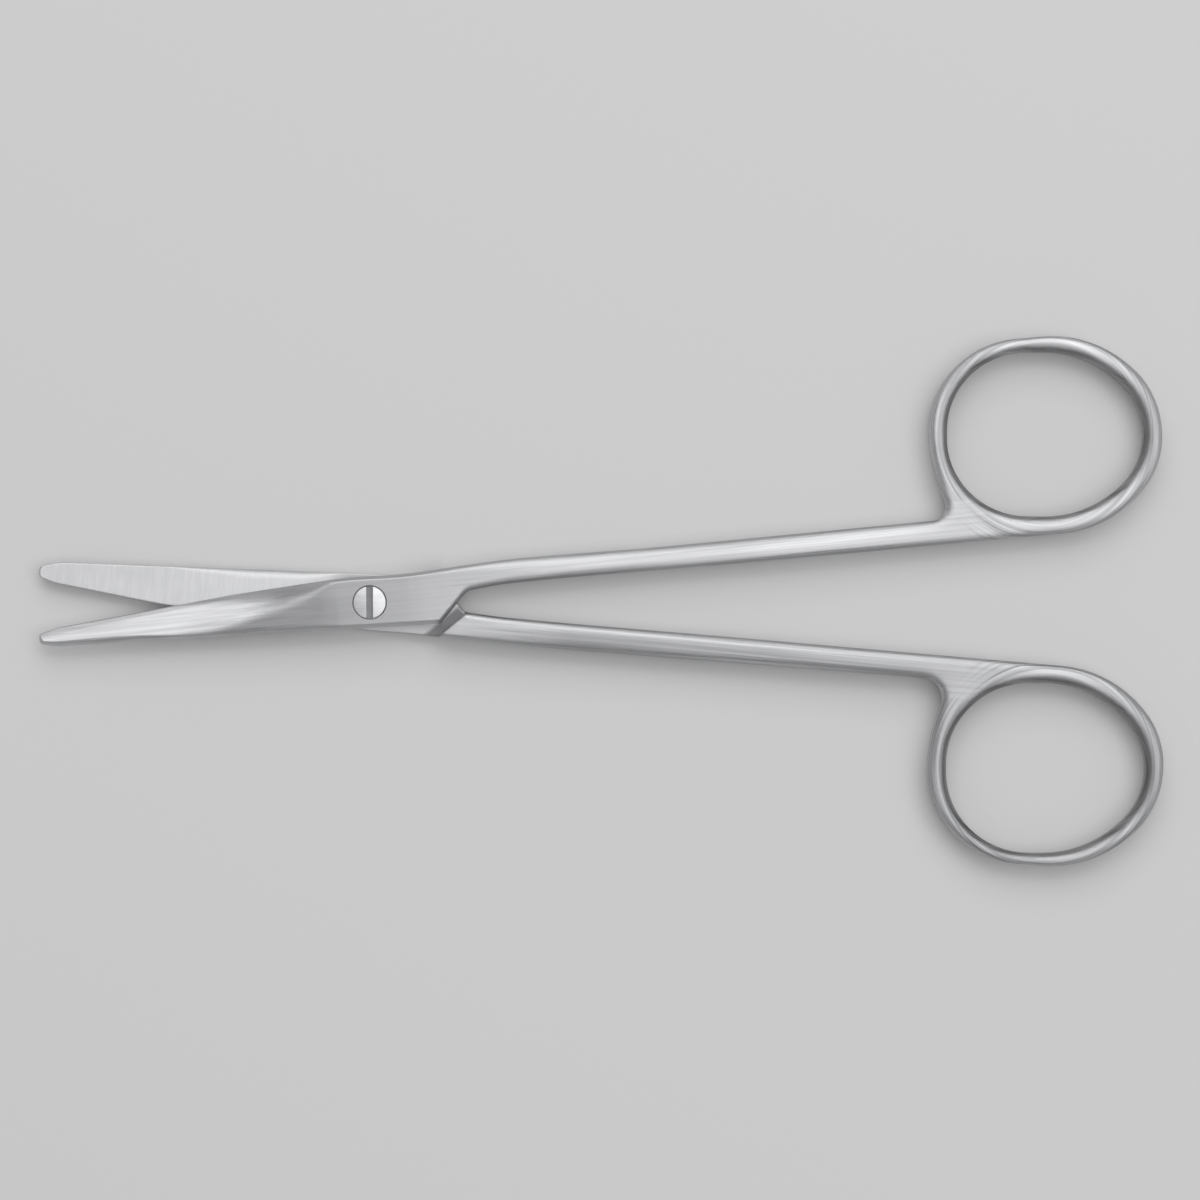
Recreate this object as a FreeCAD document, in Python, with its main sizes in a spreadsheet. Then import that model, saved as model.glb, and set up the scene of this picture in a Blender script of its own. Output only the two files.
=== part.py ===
"""Straight dissecting scissors, 145 mm long, lying flat and slightly open.

Two forged halves cross in a lap joint and turn on a slotted screw.  Each half is drawn
closed, along X, with the pivot at its own origin and the parting plane at Z = 0: blade
towards -X, ring towards +X, cutting edge and finger ring on the +Y side, outer face on
the +Z side.  The lower half is the same kind of forging turned over.

In the finished part +Z is up, the pivot axis passes through the origin, Z = 0 is the
underside of the lower half's joint plate, and the rings are towards +X.
"""
import FreeCAD, Part
import math
import os

import Sketcher

os.makedirs("parts", exist_ok=True)
doc = FreeCAD.newDocument("DissectingScissors")
Vector = FreeCAD.Vector

# Sizes that both halves share, in millimetres and degrees.
SIZES = {
    "plate": 2.2,              # thickness of each half at the lap joint
    "ride_gap": 0.02,          # between the two riding faces
    "shank_half": 1.75,        # half the thickness of shank and ring
    "slope_start": 6.0,        # where the plate starts to run down to the shank
    "slope_end": 24.0,         # where it reaches the shank's thickness
    "taper_start": 5.0,        # blade taper starts this far in front of the pivot
    "tip_thickness": 1.0,      # blade thickness at the point
    "shoulder": 12.80,         # X + Y of the 45 degree shoulder line
    "back_cut": 12.38,         # X - Y of the 45 degree end of the joint plate
    "open_half_angle": 5.45,   # each half is turned this far from closed
    "blade_reach": 42.95,      # pivot to point
    "land": 0.28,              # thickness left at the cutting edge
    "edge_bevel": 0.65,        # width of the bevel along the cutting edge
    "ring_far": 103.75,        # pivot to the far side of the ring
    "rim_break": 0.45,         # bevel of the outline's rims, on both faces
    "finger_break": 0.68,      # wider bevel of the finger hole's rims
    "point_back_radius": 0.7,  # of the blunt point, seen from above
    "point_edge_radius": 0.6,
    "crotch_radius": 1.8,      # where the inner edge turns in to the joint
    "screw_head": 4.30,        # diameter
    "screw_head_depth": 0.80,
    "screw_shank": 2.60,       # diameter
    "screw_dome": 0.12,        # height of the domed head above the plate
    "head_chamfer": 0.12,      # round the screw's head
    "end_chamfer": 0.2,        # round the screw's end and the lower half's bore
    "slot_width": 0.84,
    "slot_depth": 0.55,
    "bore_clearance": 0.03,    # radial, upper half on the screw
    "head_clearance": 0.06,    # radial, head in its counterbore
    "thread_clearance": 0.01,  # radial, screw in the lower half
    "seat_clearance": 0.02,    # under the head
    "screw_recess": 0.06,      # screw end below the lower half's face
}

# Sizes of one half: the upper half's value, then the lower half's.
HALF_SIZES = {
    "tip_back": (-1.14, -0.77),       # Y of the point's corners
    "tip_edge": (0.14, 0.62),
    "nose_reach": (2.3, 2.1),         # from the point to where the cutting edge starts
    "nose_y": (0.72, 1.21),
    "back_reach": (2.05, 2.64),       # from the point to where the straight back starts
    "back_y": (-1.637, -1.538),
    "back_end": (-3.57, -4.10),       # Y of the back at the plate's end
    "edge_x": (-17.35, -26.0),        # bend of the cutting edge
    "edge_y": (2.75, 2.80),
    "heel_x": (-2.6, 0.3),            # widest place of the joint plate
    "heel_y": (3.52, 3.66),
    "waist_x": (4.6, 5.2),
    "waist_y": (3.18, 3.54),
    "swell_x": (19.0, 20.0),          # swell of the shank behind the joint
    "swell_y": (3.82, 3.84),
    "middle_x": (37.0, 48.0),
    "middle_y": (3.42, 3.48),
    "web_x": (75.6, 75.2),            # hollow corner of shank and ring
    "web_y": (3.28, 3.18),
    "web_radius": (1.9, 2.6),
    "ring_near": (73.87, 73.50),      # near side of the ring
    "ring_top": (25.56, 25.90),
    "ring_base": (-0.01, 0.0),
    "inner_mid": (0.27, 0.20),        # Y of the inner edge, half way along
    "inner_front": (0.70, 0.37),      # Y of the inner edge behind the crotch
    "crotch_x": (12.66, 12.15),       # where the inner edge turns in to the joint
    "crotch_y": (0.30, 0.13),
    "hole_x": (88.76, 88.69),
    "hole_y": (12.95, 13.33),
    "hole_tilt": (-6.2, -5.1),
    "hole_length": (25.36, 25.74),
    "hole_breadth": (21.20, 21.98),
}
for key, (upper_value, lower_value) in HALF_SIZES.items():
    SIZES["upper_" + key] = upper_value
    SIZES["lower_" + key] = lower_value

sheet = doc.addObject("Spreadsheet::Sheet", "Sizes")
for row, (alias, value) in enumerate(SIZES.items(), start=1):
    sheet.set(f"A{row}", alias)
    sheet.set(f"B{row}", str(value))
    sheet.setAlias(f"B{row}", alias)
doc.recompute()


def amount(text):
    """Value of a sum such as 'plate + 1.5' or '0.5*screw_head + head_clearance'."""
    total, sign = 0.0, 1.0
    for token in str(text).split():
        if token in ("+", "-"):
            sign = 1.0 if token == "+" else -1.0
            continue
        factor = 1.0
        for piece in token.split("*"):
            factor *= SIZES[piece] if piece in SIZES else float(piece)
        total += sign * factor
    return total


def formula(text):
    """The same sum written as an expression on the sheet."""
    words = []
    for token in str(text).split():
        pieces = ["Sizes." + p if p in SIZES else p for p in token.split("*")]
        words.append(" * ".join(pieces))
    return " ".join(words)


def origin_plane(body, role):
    for feature in body.Origin.OriginFeatures:
        if feature.Role == role:
            return feature


def new_sketch(body, name, role, offset=None):
    """Sketch on one of the body's origin planes; offset is a tuple of sums, X Y Z turn."""
    sketch = body.newObject("Sketcher::SketchObject", name)
    sketch.AttachmentSupport = [(origin_plane(body, role), "")]
    sketch.MapMode = "FlatFace"
    if offset:
        x, y, z, turn = offset
        sketch.AttachmentOffset = FreeCAD.Placement(
            Vector(amount(x), amount(y), amount(z)),
            FreeCAD.Rotation(Vector(0, 0, 1), amount(turn)))
        for axis, text in (("x", x), ("y", y), ("z", z)):
            sketch.setExpression("AttachmentOffset.Base." + axis, formula(text))
        sketch.setExpression("AttachmentOffset.Rotation.Angle", formula(turn))
    return sketch


def pin_point(sketch, geometry, position, x, y):
    """Hold a point of the sketch at X and Y given as sums."""
    for kind, text in (("DistanceX", x), ("DistanceY", y)):
        index = sketch.addConstraint(
            Sketcher.Constraint(kind, -1, 1, geometry, position, amount(text)))
        sketch.setExpression(f"Constraints[{index}]", formula(text))


def rounded_outline(sketch, corners):
    """Closed outline of straight runs with an arc at each corner (x, y, radius)."""
    points = [Vector(amount(x), amount(y), 0) for x, y, _ in corners]
    radii = [amount(r) for _, _, r in corners]
    count = len(corners)
    starts, ends, centres = [], [], []
    for i in range(count):
        before = (points[i - 1] - points[i]).normalize()
        after = (points[(i + 1) % count] - points[i]).normalize()
        if radii[i] == 0:
            starts.append(points[i])
            ends.append(points[i])
            centres.append(None)
            continue
        half = before.getAngle(after) / 2
        reach = radii[i] / math.tan(half)
        middle = (before + after).normalize()
        starts.append(points[i] + before * reach)
        ends.append(points[i] + after * reach)
        centres.append(points[i] + middle * (radii[i] / math.sin(half)))
    lines = []
    for i in range(count):
        run = Part.LineSegment(ends[i], starts[(i + 1) % count])
        lines.append(sketch.addGeometry(run, False))
    for i in range(count):
        before, after = lines[i - 1], lines[i]
        x, y, r = corners[i]
        if centres[i] is None:
            sketch.addConstraint(Sketcher.Constraint("Coincident", before, 2, after, 1))
            pin_point(sketch, after, 1, x, y)
            continue
        a, b = starts[i] - centres[i], ends[i] - centres[i]
        turn = a.x * b.y - a.y * b.x
        first, last = (a, b) if turn > 0 else (b, a)
        circle = Part.Circle(centres[i], Vector(0, 0, 1), radii[i])
        arc = sketch.addGeometry(Part.ArcOfCircle(
            circle, math.atan2(first.y, first.x), math.atan2(last.y, last.x)), False)
        near, far = (1, 2) if turn > 0 else (2, 1)
        sketch.addConstraint(Sketcher.Constraint("Tangent", before, 2, arc, near))
        sketch.addConstraint(Sketcher.Constraint("Tangent", arc, far, after, 1))
        index = sketch.addConstraint(Sketcher.Constraint("Radius", arc, radii[i]))
        sketch.setExpression(f"Constraints[{index}]", formula(r))
        vertex = sketch.addGeometry(Part.Point(points[i]), True)
        pin_point(sketch, vertex, 1, x, y)
        sketch.addConstraint(Sketcher.Constraint("PointOnObject", vertex, 1, before))
        sketch.addConstraint(Sketcher.Constraint("PointOnObject", vertex, 1, after))


def half_outline(side):
    """Corners of the whole half seen from above, starting at the back of the point."""
    def s(text):
        return text.replace("$", side + "_")

    top, base, far = s("$ring_top"), s("$ring_base"), "ring_far"
    # Each ring corner is cut by a 45 degree run; the insets are shares of the ring's
    # breadth, so the oval keeps its form.
    def inset(edge, sign, share):
        return f"{edge} {sign} {share}*{top} {'-' if sign == '+' else '+'} {share}*{base}"

    def radius(share):
        return f"{share}*{top} - {share}*{base}"

    return [
        (s("$back_reach - blade_reach"), s("$back_y"), 10),
        ("0 - blade_reach", s("$tip_back"), "point_back_radius"),
        ("0.1 - blade_reach", s("$tip_edge"), "point_edge_radius"),
        (s("$nose_reach - blade_reach"), s("$nose_y"), 8),
        (s("$edge_x"), s("$edge_y"), 100),
        (s("$heel_x"), s("$heel_y"), 40),
        (s("$waist_x"), s("$waist_y"), 60),
        (s("$swell_x"), s("$swell_y"), 100),
        (s("$middle_x"), s("$middle_y"), 200),
        (s("$web_x"), s("$web_y"), s("$web_radius")),
        (s("$ring_near"), s("0.42*$ring_top"), 20),
        (s("$ring_near"), inset(top, "-", 0.275), radius(0.42)),
        (inset(s("$ring_near"), "+", 0.275), top, radius(0.48)),
        (inset(far, "-", 0.32), top, radius(0.60)),
        (far, inset(top, "-", 0.32), radius(0.45)),
        (far, inset(base, "+", 0.305), radius(0.42)),
        (inset(far, "-", 0.305), base, radius(0.58)),
        ("50", s("$inner_mid"), 300),
        ("25", s("$inner_front"), 80),
        (s("$crotch_x + 4.7"), s("$inner_front - 0.02"), 30),
        (s("$crotch_x"), s("$crotch_y"), "crotch_radius"),
        (s("$back_end + back_cut"), s("$back_end"), 0),
    ]


def side_profile():
    """Thickness seen from the side: point, joint plate, run-down, shank and ring."""
    upper = [
        ("ring_far + 2", "shank_half", 0),
        ("slope_end", "shank_half", 60),
        ("slope_start", "plate", 60),
        ("0 - taper_start", "plate", 60),
        ("0 - blade_reach - 1", "tip_thickness", 0),
    ]
    lower = [(x, "0 - " + z, r) for x, z, r in reversed(upper)]
    return lower + upper


def plain_outline(sketch, corners):
    rounded_outline(sketch, [(x, y, 0) for x, y in corners])


def pocket(body, name, sketch, side_type="One side", reverse=False):
    feature = body.newObject("PartDesign::Pocket", name)
    feature.Profile = sketch
    feature.Type = "ThroughAll"
    feature.SideType = side_type
    feature.Reversed = reverse
    return feature


def ring_hole_corners(side):
    """Egg-shaped finger hole about its own centre, long axis along X."""
    a = f"0.5*{side}_hole_length"
    b = f"0.5*{side}_hole_breadth"

    def share(value):
        return f"{0.5 * value}*{side}_hole_breadth"

    right, left = share(0.65), share(0.568)
    radii = [share(v) for v in (0.84, 1.34, 1.00, 0.92)]
    return [
        (a, f"{b} - {right}", radii[0]),
        (f"{a} - {right}", b, radii[1]),
        (f"{left} - {a}", b, radii[2]),
        (f"0 - {a}", f"{b} - {left}", radii[3]),
        (f"0 - {a}", f"{left} - {b}", radii[3]),
        (f"{left} - {a}", f"0 - {b}", radii[2]),
        (f"{a} - {right}", f"0 - {b}", radii[1]),
        (a, f"{right} - {b}", radii[0]),
    ]


def rim_edges(shape, side, of_hole):
    """Names of the top and bottom rims of the outline, or of the finger hole."""
    centre = Vector(SIZES[side + "_hole_x"], SIZES[side + "_hole_y"], 0)
    reach = 0.5 * SIZES[side + "_hole_length"] + 0.2
    names = []
    for number, edge in enumerate(shape.Edges, start=1):
        middle = edge.valueAt((edge.FirstParameter + edge.LastParameter) / 2)
        normals = []
        for face in shape.ancestorsOfType(edge, Part.Face):
            normals.append(face.normalAt(*face.Surface.parameter(middle)))
        walls = [normal for normal in normals if abs(normal.z) < 0.3]
        if len(walls) != 1:
            continue
        inward = centre - Vector(middle.x, middle.y, 0)
        faces_hole = inward.Length < reach and inward.dot(walls[0]) > 0
        if faces_hole == of_hole:
            names.append(f"Edge{number}")
    return names


def break_rims(body, side):
    """Bevel the outline's rims and the finger hole's, top and bottom."""
    for name, of_hole, size in (("outline_break", False, "rim_break"),
                                ("hole_break", True, "finger_break")):
        base = body.Tip
        feature = body.newObject("PartDesign::Chamfer", f"{side}_{name}")
        feature.Base = (base, rim_edges(base.Shape, side, of_hole))
        feature.setExpression("Size", formula(size))
        doc.recompute()


def forging(side):
    """Full-thickness forging: outline, side profile, finger hole and broken rims."""
    body = doc.addObject("PartDesign::Body", side + "_half")

    outline = new_sketch(body, side + "_outline", "XY_Plane")
    rounded_outline(outline, half_outline(side))
    pad = body.newObject("PartDesign::Pad", side + "_pad")
    pad.Profile = outline
    pad.SideType = "Symmetric"
    pad.setExpression("Length", formula("2*plate + 1"))

    profile = new_sketch(body, side + "_side_profile", "XZ_Plane")
    plain_outline(profile, [
        ("0 - blade_reach - 4", "0 - plate - 2"),
        ("ring_far + 4", "0 - plate - 2"),
        ("ring_far + 4", "plate + 2"),
        ("0 - blade_reach - 4", "plate + 2"),
    ])
    rounded_outline(profile, side_profile())
    pocket(body, side + "_thickness", profile, "Symmetric")

    hole = new_sketch(body, side + "_finger_hole", "XY_Plane",
                      (side + "_hole_x", side + "_hole_y", "0", side + "_hole_tilt"))
    rounded_outline(hole, ring_hole_corners(side))
    pocket(body, side + "_finger_opening", hole, "Symmetric")
    doc.recompute()

    break_rims(body, side)
    return body


def edge_at(side, x):
    """Y of the cutting edge at X, as a sum of the outline's sizes."""
    nose = SIZES[side + "_nose_reach"] - SIZES["blade_reach"]
    bend, heel = SIZES[side + "_edge_x"], SIZES[side + "_heel_x"]
    if x < bend:
        share = (x - nose) / (bend - nose)
        return f"{1 - share:.4f}*{side}_nose_y + {share:.4f}*{side}_edge_y"
    share = (x - bend) / (heel - bend)
    return f"{1 - share:.4f}*{side}_edge_y + {share:.4f}*{side}_heel_y"


def back_at(side, x):
    """Y of the blade's back at X."""
    start = SIZES[side + "_back_reach"] - SIZES["blade_reach"]
    end = SIZES[side + "_back_end"] + SIZES["back_cut"]
    share = (x - start) / (end - start)
    return f"{1 - share:.4f}*{side}_back_y + {share:.4f}*{side}_back_end"


def times(text, factor):
    """A sum with every term multiplied by a number."""
    tokens = [t if t in ("+", "-") else f"{factor}*{t}" for t in text.split()]
    return " ".join(tokens)


def grind_section(body, side, number, share, slope):
    """Outline of what the grinding wheel takes away at one place of the blade.

    The edge bevel rises from the land at the cutting edge to a knee, and above the knee
    the convex outer face rises with the given slope.  The place is a share of the blade's
    reach; in the third next to the joint the wheel leaves the blade sideways, so the grind
    runs out diagonally.
    """
    place = f"0 - {share}*blade_reach"
    x = amount(place)
    leave = 3.4 * (max(0.0, 0.326 - share) / 0.303) ** 2
    edge = edge_at(side, x)
    low_y, low_z = f"{edge} + {leave:.3f} + 0.5", "land - 0.2885"
    knee_y = f"{edge} + {leave:.3f} - edge_bevel"
    knee_z = "land + 0.577*edge_bevel"
    back_y = f"{back_at(side, x)} - 0.5"
    width = f"{knee_y} + {times(back_at(side, x), -1)} + 0.5"
    back_z = f"{knee_z} + {times(width, slope)}".replace("+ -", "-")
    high = "12"

    low = Vector(amount(low_y), amount(low_z), 0)
    knee = Vector(amount(knee_y), amount(knee_z), 0)
    end = Vector(amount(back_y), amount(back_z), 0)
    chord = end - knee
    radius = 5 * chord.Length
    across = Vector(chord.y, -chord.x, 0).normalize()
    bulge = radius - math.sqrt(radius ** 2 - (chord.Length / 2) ** 2)
    middle = (knee + end) * 0.5 + across * bulge

    sketch = new_sketch(body, f"{side}_grind_{number}", "YZ_Plane", ("0", "0", place, "0"))
    above_end = Vector(end.x, float(high), 0)
    above_low = Vector(low.x, float(high), 0)
    for run in (Part.LineSegment(low, knee), Part.Arc(knee, middle, end),
                Part.LineSegment(end, above_end), Part.LineSegment(above_end, above_low),
                Part.LineSegment(above_low, low)):
        sketch.addGeometry(run, False)
    # The arc's own start is the end from which it turns anticlockwise.
    starts_at_knee = sketch.Geometry[1].StartPoint.distanceToPoint(knee) < 1e-6
    first, last = (1, 2) if starts_at_knee else (2, 1)
    joints = [(0, 2, 1, first), (1, last, 2, 1), (2, 2, 3, 1), (3, 2, 4, 1), (4, 2, 0, 1)]
    for a, a_end, b, b_end in joints:
        sketch.addConstraint(Sketcher.Constraint("Coincident", a, a_end, b, b_end))
    sketch.addConstraint(Sketcher.Constraint("Radius", 1, radius))
    pin_point(sketch, 0, 1, low_y, low_z)
    pin_point(sketch, 0, 2, knee_y, knee_z)
    pin_point(sketch, 2, 1, back_y, back_z)
    pin_point(sketch, 3, 1, back_y, high)
    pin_point(sketch, 4, 1, low_y, high)
    return sketch


def grind_blade(body, side):
    """Grind the outer face of the blade from the point back to the joint."""
    stations = [(1.025, 0.49), (0.84, 0.34), (0.65, 0.285), (0.49, 0.268), (0.396, 0.33),
                (0.303, 0.50), (0.21, 0.72), (0.117, 0.88), (0.023, 0.95)]
    sections = []
    for number, (share, slope) in enumerate(stations, start=1):
        sections.append(grind_section(body, side, number, share, slope))
    doc.recompute()
    loft = body.newObject("PartDesign::SubtractiveLoft", side + "_blade_grind")
    loft.Profile = sections[0]
    loft.Sections = sections[1:]
    loft.Ruled = False
    return loft


def turned_seat(body, side):
    """Bore for the screw; the upper half also gets the counterbore for its head."""
    if side == "upper":
        bore = "0.5*screw_shank + bore_clearance"
        head = "0.5*screw_head + head_clearance"
        seat = "plate - screw_head_depth - seat_clearance"
        corners = [("0", "0 - 1"), (bore, "0 - 1"), (bore, seat), (head, seat),
                   (head, "plate + 1"), ("0", "plate + 1")]
    else:
        bore = "0.5*screw_shank + thread_clearance"
        mouth = bore + " + end_chamfer"
        corners = [("0", "0 - 1"), (bore, "0 - 1"), (bore, "plate - end_chamfer"),
                   (mouth, "plate"), (mouth, "plate + 1"), ("0", "plate + 1")]
    sketch = new_sketch(body, side + "_seat_profile", "XZ_Plane")
    plain_outline(sketch, corners)
    groove = body.newObject("PartDesign::Groove", side + "_screw_seat")
    groove.Profile = sketch
    groove.ReferenceAxis = (sketch, ["V_Axis"])
    groove.Angle = 360
    return groove


def finished_half(side):
    """Lap, grind and bore the forging."""
    body = forging(side)
    lap = new_sketch(body, side + "_lap_outline", "XY_Plane", ("0", "0", "0.5*ride_gap", "0"))
    plain_outline(lap, [
        ("0 - blade_reach - 5", "0 - 20"),
        ("shoulder + 20", "0 - 20"),
        ("shoulder - 20", "20"),
        ("0 - blade_reach - 5", "20"),
    ])
    pocket(body, side + "_lap", lap)
    grind_blade(body, side)
    turned_seat(body, side)
    doc.recompute()
    return body


def pivot_screw():
    body = doc.addObject("PartDesign::Body", "pivot_screw")
    sketch = new_sketch(body, "screw_profile", "XZ_Plane")
    rim = "0.5*screw_head"
    dome_foot = rim + " - head_chamfer"      # where the dome starts
    shank = "0.5*screw_shank"
    under = "plate - screw_head_depth"
    end = "screw_recess - plate"
    plain_outline(sketch, [
        ("0", end), (shank + " - end_chamfer", end), (shank, end + " + end_chamfer"),
        (shank, under), (rim, under), (rim, "plate - head_chamfer"), (dome_foot, "plate"),
        ("0", "plate"),
    ])
    turned = body.newObject("PartDesign::Revolution", "screw_turned")
    turned.Profile = sketch
    turned.ReferenceAxis = (sketch, ["V_Axis"])
    turned.Angle = 360
    doc.recompute()

    dome = new_sketch(body, "dome_profile", "XZ_Plane")
    reach, rise = amount(dome_foot), SIZES["screw_dome"]
    radius = (reach ** 2 + rise ** 2) / (2 * rise)
    top, foot = amount("plate") + rise, amount("plate")
    centre = Vector(0, top - radius, 0)
    circle = Part.Circle(centre, Vector(0, 0, 1), radius)
    start = math.atan2(foot - centre.y, reach)
    arc = dome.addGeometry(Part.ArcOfCircle(circle, start, math.pi / 2), False)
    foot_line = dome.addGeometry(
        Part.LineSegment(Vector(0, foot, 0), Vector(reach, foot, 0)), False)
    axis_line = dome.addGeometry(
        Part.LineSegment(Vector(0, top, 0), Vector(0, foot, 0)), False)
    dome.addConstraint(Sketcher.Constraint("Coincident", foot_line, 2, arc, 1))
    dome.addConstraint(Sketcher.Constraint("Coincident", arc, 2, axis_line, 1))
    dome.addConstraint(Sketcher.Constraint("Coincident", axis_line, 2, foot_line, 1))
    dome.addConstraint(Sketcher.Constraint("PointOnObject", arc, 3, -2))
    pin_point(dome, foot_line, 1, "0", "plate")
    pin_point(dome, foot_line, 2, dome_foot, "plate")
    pin_point(dome, axis_line, 1, "0", "plate + screw_dome")
    domed = body.newObject("PartDesign::Revolution", "screw_domed")
    domed.Profile = dome
    domed.ReferenceAxis = (dome, ["V_Axis"])
    domed.Angle = 360
    doc.recompute()

    slot = new_sketch(body, "slot_outline", "XY_Plane", ("0", "0", "plate - slot_depth", "0"))
    plain_outline(slot, [
        ("0 - 0.5*slot_width", "0 - screw_head"),
        ("0.5*slot_width", "0 - screw_head"),
        ("0.5*slot_width", "screw_head"),
        ("0 - 0.5*slot_width", "screw_head"),
    ])
    pocket(body, "slot", slot, reverse=True)
    doc.recompute()
    return body


upper = finished_half("upper")
lower = finished_half("lower")
screw = pivot_screw()

# Open the pair: both halves turn about the pivot at the origin, and the parting plane
# goes up by the thickness of the lower plate.
upper.setExpression("Placement.Base.z", "Sizes.plate")
upper.setExpression("Placement.Rotation.Angle", "Sizes.open_half_angle")
upper.Placement = FreeCAD.Placement(
    Vector(0, 0, SIZES["plate"]), FreeCAD.Rotation(Vector(0, 0, 1), SIZES["open_half_angle"]))
turned_over = FreeCAD.Rotation(Vector(1, 0, 0), 180)
lower.Placement = FreeCAD.Placement(
    Vector(0, 0, SIZES["plate"]),
    FreeCAD.Rotation(Vector(0, 0, 1), -SIZES["open_half_angle"]).multiply(turned_over))
lower.setExpression("Placement.Base.z", "Sizes.plate")
screw.setExpression("Placement.Base.z", "Sizes.plate")
doc.recompute()

for item in doc.Objects:
    if "Invalid" in item.State or "Error" in item.State:
        raise RuntimeError(f"{item.Name} could not be computed: {item.State}")
for piece in (upper, lower, screw):
    if piece.Shape.isNull() or not piece.Shape.isValid() or len(piece.Shape.Solids) != 1:
        raise RuntimeError(f"{piece.Label} is not one sound solid")
for piece in (upper, lower, screw):
    piece.Shape.exportStep(f"parts/{piece.Label}.step")
    box = piece.Shape.BoundBox
    print(f"{piece.Label}: {piece.Shape.Volume:.1f} mm3, X {box.XMin:.2f} to {box.XMax:.2f}, "
          f"Y {box.YMin:.2f} to {box.YMax:.2f}, Z {box.ZMin:.2f} to {box.ZMax:.2f}")
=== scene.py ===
"""Straight dissecting scissors in satin steel, lying open on a pale table, seen from above."""

import math

import bpy
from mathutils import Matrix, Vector

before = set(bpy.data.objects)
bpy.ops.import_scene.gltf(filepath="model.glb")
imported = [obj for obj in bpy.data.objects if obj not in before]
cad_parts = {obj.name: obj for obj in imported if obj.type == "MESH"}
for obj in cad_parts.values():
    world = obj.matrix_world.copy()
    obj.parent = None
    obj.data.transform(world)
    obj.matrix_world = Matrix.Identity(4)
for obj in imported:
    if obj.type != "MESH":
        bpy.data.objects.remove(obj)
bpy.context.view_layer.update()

MM = 0.001
OPEN_HALF_ANGLE = math.radians(5.45)   # each half is turned this far from closed
RING_CENTRE = (88.7 * MM, 13.1 * MM)   # of the finger hole, in the closed half

# Stretches along a closed half over which a look comes or goes, measured from the pivot:
# the blade is at minus and the ring at plus.
GRIND_COMES = (-26 * MM, -16 * MM)     # the grind's run-out beside the joint
GRIND_GOES = (-9 * MM, -4 * MM)
BLADE_GOES = (-6 * MM, -3 * MM)        # the blade's inner face
PLATE_COMES = (-15 * MM, -9 * MM)      # the flat joint plate
PLATE_GOES = (10 * MM, 18 * MM)
# over this stretch the outer faces' painted shade fades out towards the shank
PLATE_SHADE = (-16 * MM, 13 * MM)
ROD_COMES = (8 * MM, 20 * MM)          # the rounded shank
SHANK_COMES = (14 * MM, 26 * MM)
CROWN_COMES = (12 * MM, 26 * MM)       # the shank's crowned faces
CROWN_GOES = (70 * MM, 77 * MM)
STREAKS_COME = (20 * MM, 50 * MM)      # the shank's strong streaks
STREAKS_GO = (62 * MM, 74 * MM)
RING_COMES = (76 * MM, 81 * MM)        # the ring
# over this stretch the ring's painted shade on its finger side comes in
FINGER_SIDE_COMES = (70 * MM, 76 * MM)
# The same across the half, towards the cutting edge and the ring.
RING_COMES_ACROSS = (4.2 * MM, 6.5 * MM)
CROWN_ACROSS = (0.8 * MM, 3.4 * MM)
# where the lap's corner gets painted shade
LAP_CORNER = (10.5 * MM, 11.2 * MM)    # along plus across, before the 45 degree shoulder

PARTING_HEIGHT = 2.2 * MM              # of the riding faces above the table
# the slot's painted shade fades out over these heights
SLOT_EDGE = (3.95 * MM, 4.10 * MM)     # heights between the slot's floor and the head
SCREW_RIM = (2.5 * MM, 2.9 * MM)       # distances from the pivot, just outside the screw
RUN_OUT_RADIUS = 1.4 * MM              # of edges that the shading rounds
CRISP_RADIUS = 0.30 * MM
ROD_RADIUS = 1.30 * MM

# Parts added to the steel's tone, which is 1 for plain steel.
GRIND_TONE, BAND_TONE, CLOUD_TONE = 0.19, 0.13, 0.03
# painted highlight along the edges
PAINTED_EDGE_HIGHLIGHT = 0.07
# painted light that brightens the blade's inner face
BLADE_FACE_PAINTED_LIGHT = 0.42
# How much the streaks count on each stretch, against the blade's.
SHANK_STREAKS, WEB_STREAKS, RING_STREAKS, PLATE_STREAKS = 1.6, 0.55, 1.9, 0.40
# Factors on the tone for painted shade in the lap's corner and on the ring's finger side.
LAP_CORNER_PAINTED_SHADE = 0.40
FINGER_SIDE_PAINTED_SHADE = 0.62
CROWN_LEAN = 0.26                      # of the shank's faces, as a slope


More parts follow.
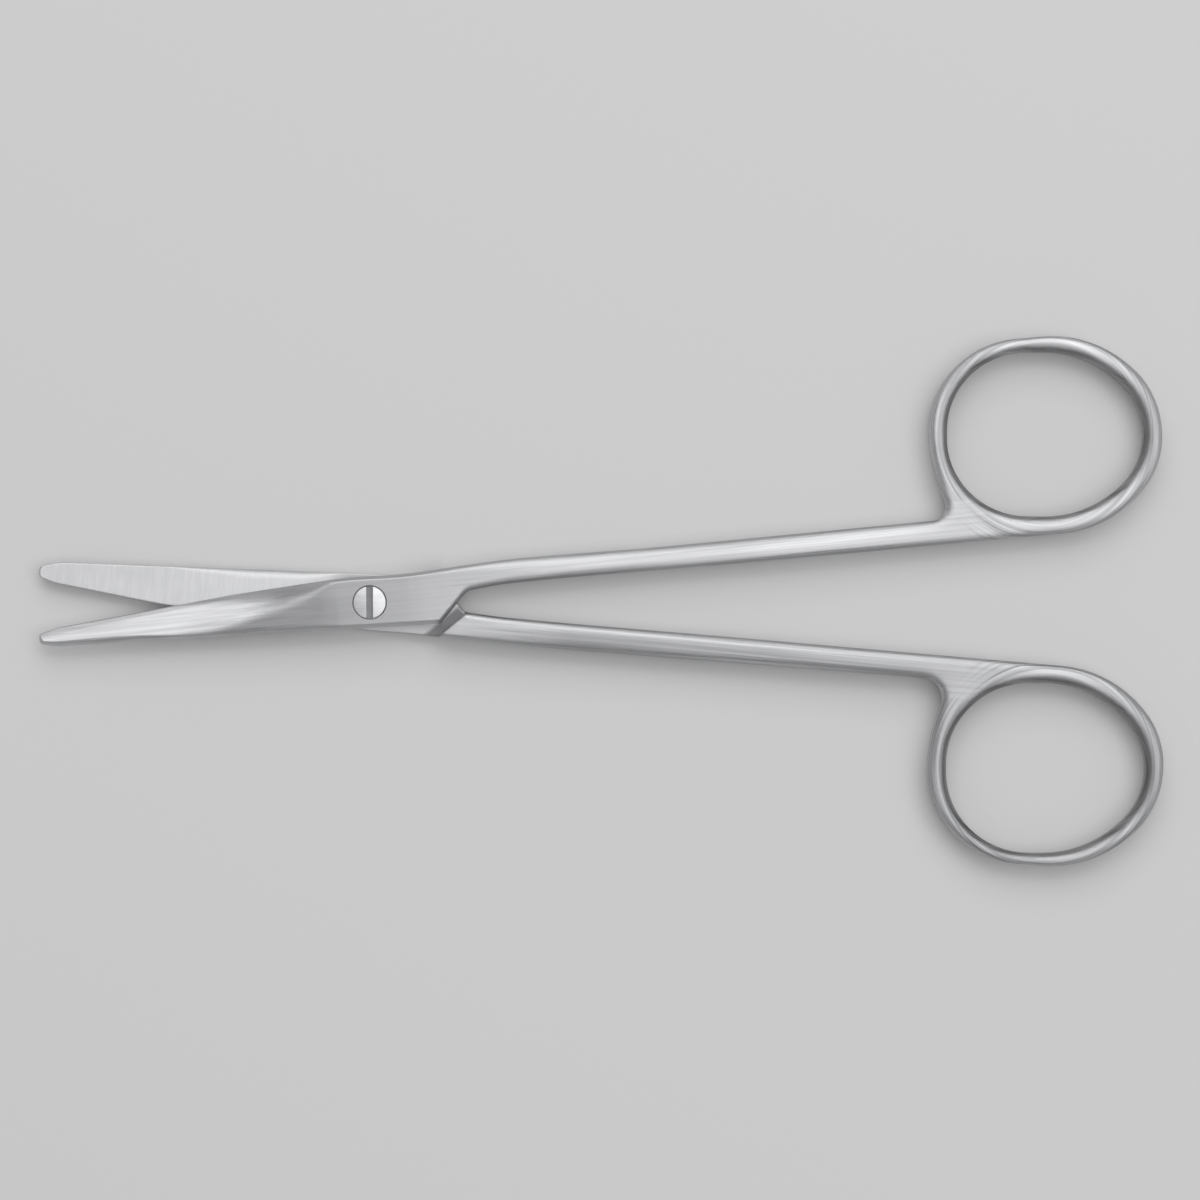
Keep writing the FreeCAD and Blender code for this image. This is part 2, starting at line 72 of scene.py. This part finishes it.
class Nodes:
    """Short calls for building a material's node tree."""

    def __init__(self, name):
        self.material = bpy.data.materials.new(name)
        self.material.use_nodes = True
        self.tree = self.material.node_tree
        self.tree.nodes.clear()
        self.output = self.add("ShaderNodeOutputMaterial")

    def add(self, kind, **settings):
        node = self.tree.nodes.new(kind)
        for key, value in settings.items():
            setattr(node, key, value)
        return node

    def put(self, node, socket, given):
        """Set a socket to a number or link it to another node's output."""
        if isinstance(given, bpy.types.NodeSocket):
            self.tree.links.new(given, node.inputs[socket])
        else:
            node.inputs[socket].default_value = given

    def math(self, operation, a, b=0.0, clamp=False):
        node = self.add("ShaderNodeMath", operation=operation, use_clamp=clamp)
        self.put(node, 0, a)
        self.put(node, 1, b)
        return node.outputs[0]

    def product(self, a, b):
        return self.math("MULTIPLY", a, b)

    def vector_math(self, operation, a, b=None):
        node = self.add("ShaderNodeVectorMath", operation=operation)
        self.put(node, 0, a)
        if b is not None:
            self.put(node, 1, b)
        return node.outputs["Value" if operation in ("LENGTH", "DOT_PRODUCT") else "Vector"]

    def split(self, vector):
        node = self.add("ShaderNodeSeparateXYZ")
        self.put(node, 0, vector)
        return node.outputs["X"], node.outputs["Y"], node.outputs["Z"]

    def combine(self, x, y, z):
        node = self.add("ShaderNodeCombineXYZ")
        for socket, given in enumerate((x, y, z)):
            self.put(node, socket, given)
        return node.outputs[0]

    def turn_between(self, vector, kind, from_space, to_space):
        """Turn a direction from one space to another; kind is NORMAL or VECTOR."""
        node = self.add("ShaderNodeVectorTransform", vector_type=kind,
                        convert_from=from_space, convert_to=to_space)
        self.put(node, 0, vector)
        return node.outputs[0]

    def span(self, source, stretch, low=0.0, high=1.0):
        """Map a stretch of values to low..high, clamped."""
        node = self.add("ShaderNodeMapRange")
        for socket, given in (("Value", source), ("From Min", stretch[0]),
                              ("From Max", stretch[1]), ("To Min", low), ("To Max", high)):
            self.put(node, socket, given)
        return node.outputs["Result"]

    def blend(self, factor, a, b):
        """Mix two numbers by a factor."""
        node = self.add("ShaderNodeMix", data_type="FLOAT")
        for socket, given in ((0, factor), (2, a), (3, b)):
            self.put(node, socket, given)
        return node.outputs[0]

    def noise(self, vector, sizes, detail=2.0, roughness=0.5, shift=0.0):
        """Noise whose features measure about the given sizes in millimetres along X, Y, Z."""
        mapping = self.add("ShaderNodeMapping", vector_type="POINT")
        self.put(mapping, "Vector", vector)
        self.put(mapping, "Scale", [1 / (size * MM) for size in sizes])
        self.put(mapping, "Location", (shift, 1.7 * shift, 0.6 * shift))
        texture = self.add("ShaderNodeTexNoise", noise_dimensions="3D")
        self.put(texture, "Scale", 1.0)
        self.put(texture, "Detail", detail)
        self.put(texture, "Roughness", roughness)
        self.put(texture, "Vector", mapping.outputs["Vector"])
        return texture.outputs["Fac"]


class SteelSurface(Nodes):
    """Node tree of one steel piece, with the surface's place, its facing and its regions.

    turn brings object coordinates into the half's own direction.  side is +1 where the
    half's outer face looks up and -1 where it looks down.
    """

    def __init__(self, name, turn, side):
        super().__init__(name)
        self.side = side
        self.place = self.turned_place(turn)
        self.along, y, self.height = self.split(self.place)
        self.across = self.product(y, side)
        self.rounded = self.rounded_normal()
        # The object's own normal, so that the regions turn with the half.
        self.facing = self.turn_between(self.rounded, "NORMAL", "WORLD", "OBJECT")
        facing_up = self.split(self.facing)[2]
        self.inner = self.span(self.product(facing_up, -side), (0.90, 0.97))
        self.outer = self.span(self.product(facing_up, side), (0.975, 0.992))
        self.blade_face = self.product(self.inner, self.span(self.along, BLADE_GOES, 1.0, 0.0))
        self.ring = self.math("MAXIMUM", self.span(self.along, RING_COMES),
                              self.span(self.across, RING_COMES_ACROSS))
        self.plate = self.product(self.span(self.along, PLATE_COMES),
                                  self.span(self.along, PLATE_GOES, 1.0, 0.0))
        self.to_centre, self.round_place = self.round_the_ring(turn)

    def object_place(self):
        return self.add("ShaderNodeTexCoord").outputs["Object"]

    def turned_place(self, turn):
        mapping = self.add("ShaderNodeMapping", vector_type="POINT")
        self.put(mapping, "Vector", self.object_place())
        self.put(mapping, "Rotation", (0, 0, turn))
        return mapping.outputs["Vector"]

    def round_the_ring(self, turn):
        """Level direction to the finger hole's centre, and a place for noise that is drawn
        round the ring: X and Y on a circle, so that it has no seam, and the distance from
        the centre joined with the height."""
        x, y = RING_CENTRE[0], self.side * RING_CENTRE[1]
        centre = (x * math.cos(turn) + y * math.sin(turn),
                  y * math.cos(turn) - x * math.sin(turn), 0)
        inward = self.vector_math("SUBTRACT", centre, self.object_place())
        level = self.vector_math("MULTIPLY", inward, (1, 1, 0))
        unit = self.vector_math("NORMALIZE", level)
        unit_x, unit_y, _ = self.split(unit)
        depth = self.math("ADD", self.vector_math("LENGTH", level),
                          self.product(self.split(inward)[2], 1.7))
        radius = RING_CENTRE[1]
        return unit, self.combine(self.product(unit_x, radius),
                                  self.product(unit_y, radius), depth)

    def rounded_normal(self):
        """Edges are crisp at the point and round the screw, soft where the grind runs out,
        and rounded like a rod along shank and ring."""
        run_out = self.product(self.span(self.along, GRIND_COMES, 0.0, RUN_OUT_RADIUS),
                               self.span(self.along, GRIND_GOES, 1.0, 0.0))
        rod = self.span(self.along, ROD_COMES, CRISP_RADIUS, ROD_RADIUS)
        from_pivot = self.vector_math(
            "LENGTH", self.vector_math("MULTIPLY", self.place, (1, 1, 0)))
        near_screw = self.span(from_pivot, SCREW_RIM, 0.3, 1.0)
        bevel = self.add("ShaderNodeBevel", samples=6)
        self.put(bevel, "Radius", self.product(self.math("ADD", run_out, rod), near_screw))
        return bevel.outputs[0]

    def crowned_normal(self):
        """The rounded normal, leaning over towards the shank's outer side: its faces are
        crowned."""
        lean = self.product(self.span(self.across, CROWN_ACROSS, 0.0, CROWN_LEAN * self.side),
                            self.product(self.span(self.along, CROWN_COMES),
                                         self.span(self.along, CROWN_GOES, 1.0, 0.0)))
        outward = self.turn_between(self.combine(0.0, lean, 0.0), "VECTOR", "OBJECT", "WORLD")
        return self.vector_math("NORMALIZE", self.vector_math("ADD", self.rounded, outward))

    def drawn_noise(self, length, width, **settings):
        """Noise drawn out along the half, and round the finger hole along the ring."""
        straight = self.noise(self.place, (length, width, width), **settings)
        round_ring = self.noise(self.round_place, (length, length, width), **settings)
        return self.blend(self.ring, straight, round_ring)

    def worn_and_highlit_edges(self):
        """Edges, where the rounded normal departs from the true one: there the colour gets a
        painted highlight and the roughness drops with wear.
        """
        geometry = self.add("ShaderNodeNewGeometry")
        apart = self.vector_math("DOT_PRODUCT", self.rounded, geometry.outputs["True Normal"])
        return self.span(apart, (0.97, 0.88))

    def finger_side_shade(self):
        """Painted shade on the side of the ring that faces the finger."""
        to_finger = self.vector_math("DOT_PRODUCT", self.to_centre, self.facing)
        return self.product(self.span(to_finger, (0.10, 0.50)),
                            self.span(self.along, FINGER_SIDE_COMES))

    def lap_corner_shade(self):
        """Painted shade in the lap's corner under the shoulder, on the inner face."""
        off_parting = self.math("ABSOLUTE", self.math("SUBTRACT", self.height, PARTING_HEIGHT))
        corner = self.product(self.span(self.math("ADD", self.along, self.across), LAP_CORNER),
                              self.span(off_parting, (0.10 * MM, 0.25 * MM), 1.0, 0.0))
        return self.product(self.inner, corner)


def steel(name, turn, side, colour=(0.578, 0.58, 0.59), roughness=0.34, joint_painted_shade=0.78,
          shank_painted_shade=1.0, slot_painted_shade=1.0):
    """Satin surgical steel: drawn finish along the half, cross-ground inner blade face
    with painted light on it, finely scratched, and with a painted highlight along its
    edges.  The joint, shank and slot factors paint shade: on the flat joint plate, on all
    behind the joint and on the floor of the screw's slot."""
    n = SteelSurface(name, turn, side)
    drawn = n.drawn_noise(18.0, 0.22, detail=4, roughness=0.6)
    band = n.drawn_noise(60.0, 0.55, detail=2, shift=9.4)
    cross = n.noise(n.place, (0.30, 3.5, 3.5), detail=4, roughness=0.6, shift=3.1)
    cloud = n.noise(n.place, (7.0, 3.0, 3.0), detail=3, shift=5.3)
    grain = n.noise(n.place, (0.10, 0.10, 0.10), detail=2, shift=1.3)
    scratch = n.noise(n.place, (3.2, 0.07, 0.5), detail=1, roughness=0.3, shift=7.9)
    scratch = n.span(scratch, (0.70, 0.76))
    grind = n.blend(n.blade_face, drawn, n.span(cross, (0.0, 1.0), 0.25, 0.75))
    edge_wear_and_highlight = n.worn_and_highlit_edges()

    streaks = n.math("ADD", n.span(grind, (0.25, 0.75), -GRIND_TONE, GRIND_TONE),
                     n.product(n.span(band, (0.3, 0.7), -BAND_TONE, BAND_TONE),
                               n.math("SUBTRACT", 1.0, n.blade_face)))
    on_shank = n.product(n.span(n.along, STREAKS_COME, 1.0, SHANK_STREAKS),
                         n.span(n.along, STREAKS_GO, 1.0, WEB_STREAKS))
    streaks = n.product(streaks, n.blend(n.ring, on_shank, RING_STREAKS))
    streaks = n.product(streaks, n.span(n.plate, (0.0, 1.0), 1.0, PLATE_STREAKS))
    tone = n.math("ADD", streaks, 1.0)
    for part in (n.span(cloud, (0.3, 0.7), -CLOUD_TONE, CLOUD_TONE),
                 # painted highlight along the edges
                 n.product(edge_wear_and_highlight, PAINTED_EDGE_HIGHLIGHT),
                 # painted light on the blade's inner face
                 n.product(n.blade_face, BLADE_FACE_PAINTED_LIGHT)):
        tone = n.math("ADD", tone, part)
    # painted shade on the outer faces, darkest towards the blade
    for factor in (n.blend(n.outer, 1.0, n.span(n.along, PLATE_SHADE, joint_painted_shade, 1.0)),
                   # painted shade on the floor of the screw's slot
                   n.span(n.height, SLOT_EDGE, slot_painted_shade, 1.0),
                   # painted shade on everything behind the joint
                   n.span(n.along, SHANK_COMES, 1.0, shank_painted_shade),
                   # painted shade in the lap's corner
                   n.blend(n.lap_corner_shade(), 1.0, LAP_CORNER_PAINTED_SHADE),
                   # painted shade on the ring's finger side
                   n.blend(n.finger_side_shade(), 1.0, FINGER_SIDE_PAINTED_SHADE)):
        tone = n.product(tone, factor)
    base = n.add("ShaderNodeVectorMath", operation="SCALE")
    n.put(base, 0, colour)
    n.put(base, "Scale", tone)

    rough = n.math("ADD", n.span(grind, (0.25, 0.75), -0.05, 0.06), roughness)
    rough = n.math("ADD", rough, n.span(cloud, (0.3, 0.7), -0.03, 0.04))
    rough = n.math("SUBTRACT", rough, n.product(edge_wear_and_highlight, 0.05))
    rough = n.math("ADD", rough, n.product(n.blade_face, 0.09))
    rough = n.math("ADD", rough, n.product(scratch, 0.06), clamp=True)

    relief = n.math("ADD", grind, n.product(grain, 0.35))
    relief = n.math("SUBTRACT", relief, n.product(scratch, 0.5))
    bump = n.add("ShaderNodeBump")
    n.put(bump, "Strength", 0.35)
    n.put(bump, "Distance", 0.01 * MM)
    n.put(bump, "Height", relief)
    n.put(bump, "Normal", n.crowned_normal())

    shader = n.add("ShaderNodeBsdfPrincipled")
    n.put(shader, "Metallic", 1.0)
    n.put(shader, "Base Color", base.outputs[0])
    n.put(shader, "Roughness", rough)
    n.put(shader, "Normal", bump.outputs[0])
    n.put(n.output, "Surface", shader.outputs[0])
    return n.material


def dress(node, material):
    """Give a CAD node its material in every slot."""
    mesh = node.data
    if not mesh.materials:
        mesh.materials.append(material)
    for slot in node.material_slots:
        slot.material = material


def plain_floor():
    mesh = bpy.data.meshes.new("table_top")
    half = 3.0
    mesh.from_pydata([(-half, -half, 0), (half, -half, 0), (half, half, 0), (-half, half, 0)],
                     [], [(0, 1, 2, 3)])
    floor = bpy.data.objects.new("table_top", mesh)
    bpy.context.collection.objects.link(floor)
    n = Nodes("table_top")
    shader = n.add("ShaderNodeBsdfPrincipled")
    n.put(shader, "Base Color", (0.86, 0.86, 0.86, 1))
    n.put(shader, "Roughness", 0.9)
    n.put(shader, "Specular IOR Level", 0.1)
    n.put(n.output, "Surface", shader.outputs[0])
    mesh.materials.append(n.material)


def soft_lamp(name, place, size, power):
    """A large lamp at a place, turned to the middle of the scissors."""
    middle = Vector((0.03, 0, 0))
    light = bpy.data.lights.new(name, "AREA")
    light.shape = "RECTANGLE"
    light.size, light.size_y = size
    light.energy = power
    lamp = bpy.data.objects.new(name, light)
    lamp.location = place
    lamp.rotation_euler = (middle - Vector(place)).to_track_quat("-Z", "Y").to_euler()
    bpy.context.collection.objects.link(lamp)


def studio_world(level):
    world = bpy.data.worlds.new("studio")
    bpy.context.scene.world = world
    world.use_nodes = True
    background = world.node_tree.nodes["Background"]
    background.inputs["Color"].default_value = (level, level, level * 1.01, 1)
    background.inputs["Strength"].default_value = 1.0


def camera_above():
    """Straight above, with a long lens and the photograph's slight turn."""
    distance = 0.70
    frame_width = 154.7 * MM
    data = bpy.data.cameras.new("camera")
    data.type = "PERSP"
    data.sensor_fit = "HORIZONTAL"
    data.sensor_width = 36.0
    data.lens = 36.0 * distance / frame_width
    data.clip_start, data.clip_end = 0.01, 20.0
    camera = bpy.data.objects.new("camera", data)
    camera.location = (29.65 * MM, 0.20 * MM, 3.0 * MM + distance)
    camera.rotation_euler = (0, 0, math.radians(-0.23))
    bpy.context.collection.objects.link(camera)
    bpy.context.scene.camera = camera


dress(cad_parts["upper_half"], steel("steel_upper", -OPEN_HALF_ANGLE, 1))
# the lower half gets painted shade behind its joint
dress(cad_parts["lower_half"], steel("steel_lower", OPEN_HALF_ANGLE, -1, shank_painted_shade=0.90))
# the screw gets painted shade on the floor of its slot
dress(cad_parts["pivot_screw"],
      steel("steel_screw", 0.0, 1, colour=(0.87, 0.875, 0.885), roughness=0.40, joint_painted_shade=1.0,
            slot_painted_shade=0.34))

plain_floor()
studio_world(0.32)
soft_lamp("lamp_above", (0.44, 0.10, 1.13), (1.30, 1.10), 4.3)
soft_lamp("lamp_far_side", (0.03, 0.77, 0.86), (1.10, 0.85), 3.6)
camera_above()
bpy.context.scene.view_settings.view_transform = "Standard"
